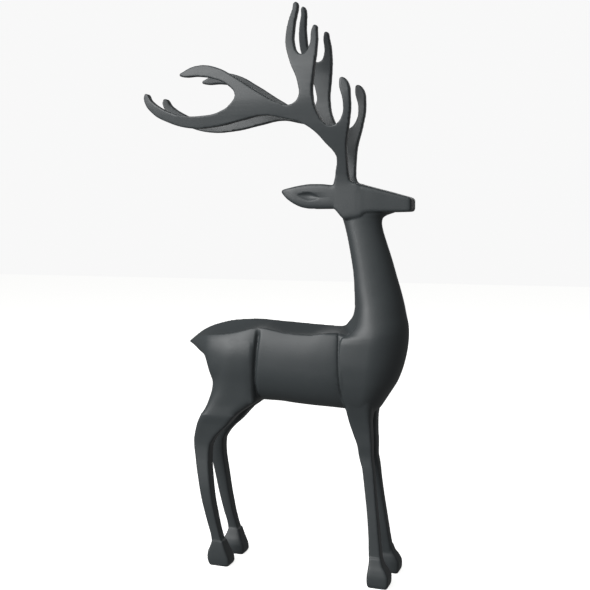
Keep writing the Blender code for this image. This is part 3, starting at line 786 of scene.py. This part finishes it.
@dataclass(frozen=True)
class PowderCoat:
    """Polyester powder coat, baked on cast aluminium.

    The real coat melts and levels in an oven. To the eye that is a satin grey with broad, soft
    highlights, a fine orange peel, slow waves left from the casting and hardly any mottle.
    """

    name: str = "powder_coat_anthracite"
    dark: str = "#363b3d"
    light: str = "#3b4042"
    cloud_mm: float = 30.0
    cloud_detail: float = 4.0
    cloud_roughness: float = 0.6
    cloud_span: tuple[float, float] = (0.3, 0.7)
    wave_mm: float = 14.0
    wave_detail: float = 1.0
    wave_height: float = 0.0006
    wave_strength: float = 0.12
    peel_mm: float = 0.9
    peel_detail: float = 2.0
    peel_height: float = 0.00012
    peel_strength: float = 0.22
    ior: float = 1.5
    roughness: tuple[float, float] = (0.43, 0.49)

    def material(self) -> bpy.types.Material:
        """The finish as a node material on Object coordinates."""
        made = bpy.data.materials.new(self.name)
        made.use_nodes = True
        tree = made.node_tree
        shader = tree.nodes["Principled BSDF"]
        where = add_node(tree, "ShaderNodeTexCoord").outputs["Object"]
        cloud = add_node(tree, "ShaderNodeTexNoise", {
            "Vector": where, "Scale": MM_PER_METRE / self.cloud_mm,
            "Detail": self.cloud_detail, "Roughness": self.cloud_roughness,
        }).outputs["Fac"]
        peel = add_node(tree, "ShaderNodeTexNoise", {
            "Vector": where, "Scale": MM_PER_METRE / self.peel_mm, "Detail": self.peel_detail,
        }).outputs["Fac"]
        wave = add_node(tree, "ShaderNodeTexNoise", {
            "Vector": where, "Scale": MM_PER_METRE / self.wave_mm, "Detail": self.wave_detail,
        }).outputs["Fac"]
        tone = add_node(tree, "ShaderNodeMix", {
            "Factor": cloud, MIX_FIRST: linear(self.dark), MIX_SECOND: linear(self.light),
        }, data_type="RGBA")
        rough = add_node(tree, "ShaderNodeMapRange", {
            "Value": cloud, "From Min": self.cloud_span[0], "From Max": self.cloud_span[1],
            "To Min": self.roughness[0], "To Max": self.roughness[1],
        })
        low = add_node(tree, "ShaderNodeBump", {
            "Height": wave, "Strength": self.wave_strength, "Distance": self.wave_height,
        })
        fine = add_node(tree, "ShaderNodeBump", {
            "Height": peel, "Strength": self.peel_strength, "Distance": self.peel_height,
            "Normal": low.outputs["Normal"],
        })
        tree.links.new(tone.outputs[MIX_RESULT], shader.inputs["Base Color"])
        tree.links.new(rough.outputs["Result"], shader.inputs["Roughness"])
        tree.links.new(fine.outputs["Normal"], shader.inputs["Normal"])
        shader.inputs["Metallic"].default_value = 0.0
        shader.inputs["IOR"].default_value = self.ior
        return made


@dataclass
class DeerCasting:
    """The whole casting: every form melted into one skin, then scored, dished and trimmed level."""

    voxel: float = 0.75
    smooth_share: float = 0.5
    smooth_rounds: int = 3
    triangles: int = 190_000
    haunches: Patch = Patch(Window(-90.0, -33.0, 140.0, 206.0), least_out=12.0, rounds=60)
    withers: Patch = Patch(Window(36.0, 58.0, 214.0, 240.0), least_out=0.0, rounds=24)
    antler_roots: Patch = Patch(Window(34.0, 64.0, 334.0, 352.0), least_out=9.0, rounds=8)
    trunk: Trunk = field(default_factory=Trunk)
    neck: Neck = field(default_factory=Neck)
    head: Head = field(default_factory=Head)
    antlers: Antlers = field(default_factory=Antlers)
    hind_leg: Leg = field(default_factory=lambda: Leg(HIND_LEG, HIND_HOOF))
    fore_leg: Leg = field(default_factory=lambda: Leg(FORE_LEG, FORE_HOOF))
    crease: Score = Score(
        window=Window(40.0, 56.0, 150.0, 222.0),
        points=(
            (44.4, 219.4), (46.4, 217.4), (47.3, 213.0), (47.6, 208.0), (47.8, 195.3),
            (48.3, 182.6), (49.2, 169.8), (50.9, 161.3), (52.9, 153.0),
        ),
        half_width=1.5, depth=1.0,
    )
    dish: Dish = Dish()
    finish: PowderCoat = PowderCoat()

    def forms(self) -> bmesh.types.BMesh:
        """Every form of the deer, overlapping."""
        bm = bmesh.new()
        self.trunk.add_to(bm)
        self.neck.add_to(bm)
        self.head.add_to(bm)
        for side in Side:
            self.hind_leg.add_to(bm, side)
            self.fore_leg.add_to(bm, side)
            self.antlers.add_to(bm, side)
        return bm

    def skin(self) -> bmesh.types.BMesh:
        """One closed skin over the forms, smoothed as the cast is by fettling."""
        forms = new_object("forms", self.forms())
        melt = forms.modifiers.new("one skin", "REMESH")
        melt.mode = "VOXEL"
        melt.voxel_size = self.voxel * STEP
        fettle = forms.modifiers.new("fettled", "SMOOTH")
        fettle.factor = self.smooth_share
        fettle.iterations = self.smooth_rounds
        apply_modifiers(forms)
        skin = bmesh.new()
        skin.from_mesh(forms.data)
        bpy.data.objects.remove(forms)
        return skin

    def press(self, vert: bmesh.types.BMVert) -> float:
        """How far a point of the skin is pressed in, in steps."""
        x, z = drawn(vert.co)
        sideways = abs(vert.normal.y) > self.crease.least_facing
        if sideways and self.crease.window.holds(x, z):
            return self.crease.press(x, z)
        outer = abs(vert.co.y) > self.dish.least_out * STEP
        if outer and self.dish.window.holds(x, z):
            return self.dish.press(x, z)
        return 0.0

    def score(self, bm: bmesh.types.BMesh) -> None:
        """Presses the creases and the ears' almonds into the skin."""
        bm.normal_update()
        pressed = [(vert, self.press(vert)) for vert in bm.verts]
        for vert, depth in pressed:
            if depth > 0:
                vert.co.y -= math.copysign(depth * STEP, vert.co.y)

    def thin(self, made: bpy.types.Object) -> None:
        """Thins the mesh to the number of triangles it may have."""
        fewer = made.modifiers.new("thinned", "DECIMATE")
        fewer.ratio = self.triangles / len(made.data.polygons)
        apply_modifiers(made)

    def trim(self, made: bpy.types.Object) -> None:
        """Cuts the hooves level with the ground, with a sharp edge round each sole."""
        bm = bmesh.new()
        bm.from_mesh(made.data)
        whole = bm.verts[:] + bm.edges[:] + bm.faces[:]
        bmesh.ops.bisect_plane(
            bm, geom=whole, plane_co=(0, 0, 0), plane_no=(0, 0, -1), clear_outer=True
        )
        rims = [edge for edge in bm.edges if edge.is_boundary]
        soles = bmesh.ops.holes_fill(bm, edges=rims, sides=0)["faces"]
        for face in bm.faces:
            face.smooth = True
        for face in soles:
            face.smooth = False
            for edge in face.edges:
                edge.smooth = False
        bmesh.ops.triangulate(bm, faces=soles)
        bm.to_mesh(made.data)
        bm.free()

    def build(self) -> bpy.types.Object:
        """The finished casting as one object at the origin."""
        bm = self.skin()
        for patch in (self.haunches, self.withers, self.antler_roots):
            patch.soften(bm)
        self.score(bm)
        bmesh.ops.triangulate(bm, faces=bm.faces)
        made = new_object("deer_casting", bm)
        self.thin(made)
        self.trim(made)
        made.data.materials.append(self.finish.material())
        log.info("%s: %d triangles", made.name, len(made.data.polygons))
        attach(made, "root")
        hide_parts("deer")
        return made


@dataclass(frozen=True)
class PaperSweep:
    """Matt white paper on the floor.

    Photographers light it from all round, so to the eye it glows and hardly takes a shadow.
    """

    name: str = "paper_sweep"
    colour: str = "#f4f4f3"
    roughness: float = 0.9
    glow: float = 0.9

    def material(self) -> bpy.types.Material:
        """The finish as a node material."""
        made = bpy.data.materials.new(self.name)
        made.use_nodes = True
        shader = made.node_tree.nodes["Principled BSDF"]
        shader.inputs["Base Color"].default_value = linear(self.colour)
        shader.inputs["Roughness"].default_value = self.roughness
        shader.inputs["Emission Color"].default_value = linear(self.colour)
        shader.inputs["Emission Strength"].default_value = self.glow
        return made


@dataclass(frozen=True)
class Softbox:
    """A rectangular studio light, turned to the deer: where it stands, its size and its power.

    The azimuth is from straight in front of the deer's right side, towards its head, in degrees.
    """

    name: str
    azimuth: float
    elevation: float
    distance: float
    size: tuple[float, float]
    power: float
    aim: tuple[float, float, float] = (0.0, 0.0, 0.25)

    def build(self) -> bpy.types.Object:
        """The light in its place."""
        data = bpy.data.lights.new(self.name, "AREA")
        data.shape = "RECTANGLE"
        data.size, data.size_y = self.size
        data.energy = self.power
        made = bpy.data.objects.new(self.name, data)
        bpy.context.scene.collection.objects.link(made)
        turn, rise = math.radians(self.azimuth), math.radians(self.elevation)
        out = Vector((
            math.sin(turn) * math.cos(rise), -math.cos(turn) * math.cos(rise), math.sin(rise)
        ))
        made.location = Vector(self.aim) + out * self.distance
        made.rotation_euler = out.to_track_quat("Z", "Y").to_euler()
        return made


@dataclass(frozen=True)
class Studio:
    """Pale floor, soft light and a camera where the photograph was taken."""

    floor_size: float = 8.0
    backdrop: float = 0.94
    ambient: float = 0.16
    azimuth: float = math.radians(20.0)
    pitch: float = math.radians(4.36)
    distance: float = 0.822
    height: float = 0.3083
    lens_mm: float = 56.87
    sensor_mm: float = 36.0
    nearest: float = 0.01
    paper: PaperSweep = PaperSweep()
    lights: tuple[Softbox, ...] = (
        Softbox("key", -36.0, 24.0, 1.8, (1.1, 1.2), 35.0),
        Softbox("top", 10.0, 42.0, 1.8, (0.9, 0.9), 4.0),
        Softbox("back", -172.0, 12.0, 2.2, (1.4, 1.0), 6.0),
    )

    def floor(self) -> None:
        """Lays the paper that the deer stands on."""
        bm = bmesh.new()
        bmesh.ops.create_grid(bm, x_segments=1, y_segments=1, size=self.floor_size / 2)
        made = new_object("floor", bm)
        made.data.materials.append(self.paper.material())
        made.visible_diffuse = False
        made.visible_glossy = False
        made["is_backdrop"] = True

    def camera(self) -> None:
        """Sets the camera at the photograph's viewing angle."""
        data = bpy.data.cameras.new("camera")
        data.lens = self.lens_mm
        data.sensor_width = self.sensor_mm
        data.clip_start = self.nearest
        made = bpy.data.objects.new("camera", data)
        bpy.context.scene.collection.objects.link(made)
        out = self.distance
        made.location = (
            out * math.sin(self.azimuth) - MIDDLE * STEP, -out * math.cos(self.azimuth), self.height
        )
        made.rotation_euler = (math.pi / 2 - self.pitch, 0, self.azimuth)
        bpy.context.scene.camera = made

    def world(self) -> bpy.types.World:
        """A white backdrop that sends only a little light back onto the deer."""
        made = bpy.data.worlds.new("studio")
        made.use_nodes = True
        tree = made.node_tree
        seen = add_node(tree, "ShaderNodeLightPath").outputs["Is Camera Ray"]
        level = add_node(tree, "ShaderNodeMapRange", {
            "Value": seen, "To Min": self.ambient, "To Max": self.backdrop,
        })
        sky = tree.nodes["Background"]
        sky.inputs["Color"].default_value = (1.0, 1.0, 1.0, 1.0)
        tree.links.new(level.outputs["Result"], sky.inputs["Strength"])
        return made

    def build(self) -> None:
        """Sets up the whole studio."""
        self.floor()
        self.camera()
        for light in self.lights:
            light.build()
        bpy.context.scene.world = self.world()
        bpy.context.scene.view_settings.view_transform = "Standard"


def corners(bounds: tuple) -> list[list[float]]:
    """A box's lowest and highest corners as plain lists of numbers."""
    return [[float(value) for value in corner] for corner in bounds]


def main() -> None:
    """Builds the studio and the deer."""
    logging.basicConfig(level=logging.INFO, format="%(name)s: %(message)s")
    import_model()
    cad = corners(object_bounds())
    Studio().build()
    DeerCasting().build()
    visual = corners(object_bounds())


if __name__ == "__main__":
    main()
